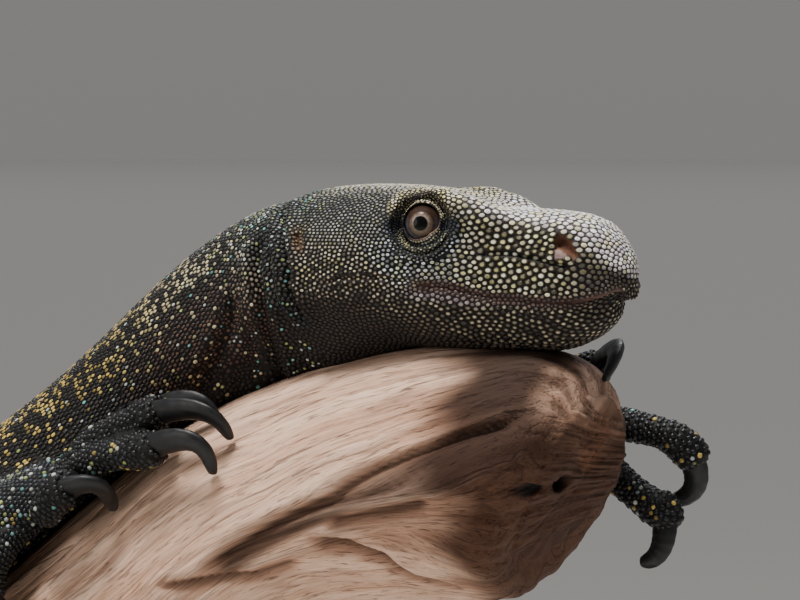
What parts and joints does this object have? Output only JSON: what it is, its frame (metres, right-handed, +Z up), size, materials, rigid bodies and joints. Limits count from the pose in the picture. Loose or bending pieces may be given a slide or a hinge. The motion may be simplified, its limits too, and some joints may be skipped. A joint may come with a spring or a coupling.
{
  "type": "monitor lizard display model",
  "caption": "Life-size crocodile monitor lying along a cut tree limb, chin on its upper end and forefeet gripping it, on a low display stand.",
  "frame": {"origin": "middle of the stand plate's underside", "axes": "+X the way the animal faces and along the stand, +Y its left, +Z up"},
  "size_m": [1.1102, 0.515, 0.5551],
  "materials": {
    "skin": "scaly hide, black with yellow spots, satin",
    "face": "scaly hide, grey-brown with pale scales, satin",
    "horn": "slate-black horn, semi-gloss",
    "iris": "wet glass-like eye, brown iris, round black pupil",
    "wood": "weathered bare driftwood, reddish tan, matte",
    "board": "dark stained board, satin",
    "steel": "brushed"
  },
  "bodies": {
    "root": {"claw_foreleg_left_1": "horn", "claw_foreleg_left_2": "horn", "claw_foreleg_left_3": "horn", "claw_foreleg_left_4": "horn", "claw_foreleg_left_5": "horn", "claw_foreleg_right_1": "horn", "claw_foreleg_right_2": "horn", "claw_foreleg_right_3": "horn", "claw_foreleg_right_4": "horn", "claw_foreleg_right_5": "horn", "claw_hindleg_left_1": "horn", "claw_hindleg_left_2": "horn", "claw_hindleg_left_3": "horn", "claw_hindleg_left_4": "horn", "claw_hindleg_left_5": "horn", "claw_hindleg_right_1": "horn", "claw_hindleg_right_2": "horn", "claw_hindleg_right_3": "horn", "claw_hindleg_right_4": "horn", "claw_hindleg_right_5": "horn", "eye_left": "iris", "eye_right": "iris", "foreleg_left": "skin", "foreleg_right": "skin", "head": "face", "hindleg_left": "skin", "hindleg_right": "skin", "neck": "skin", "perch_branch": "wood", "stand_base": "board", "stand_rod_1": "steel", "stand_rod_2": "steel", "tail_1": "skin", "tail_2": "skin", "tail_3": "skin", "tail_4": "skin", "tail_5": "skin", "tail_6": "skin", "trunk_front": "skin", "trunk_rear": "skin"}
  },
  "joints": []
}
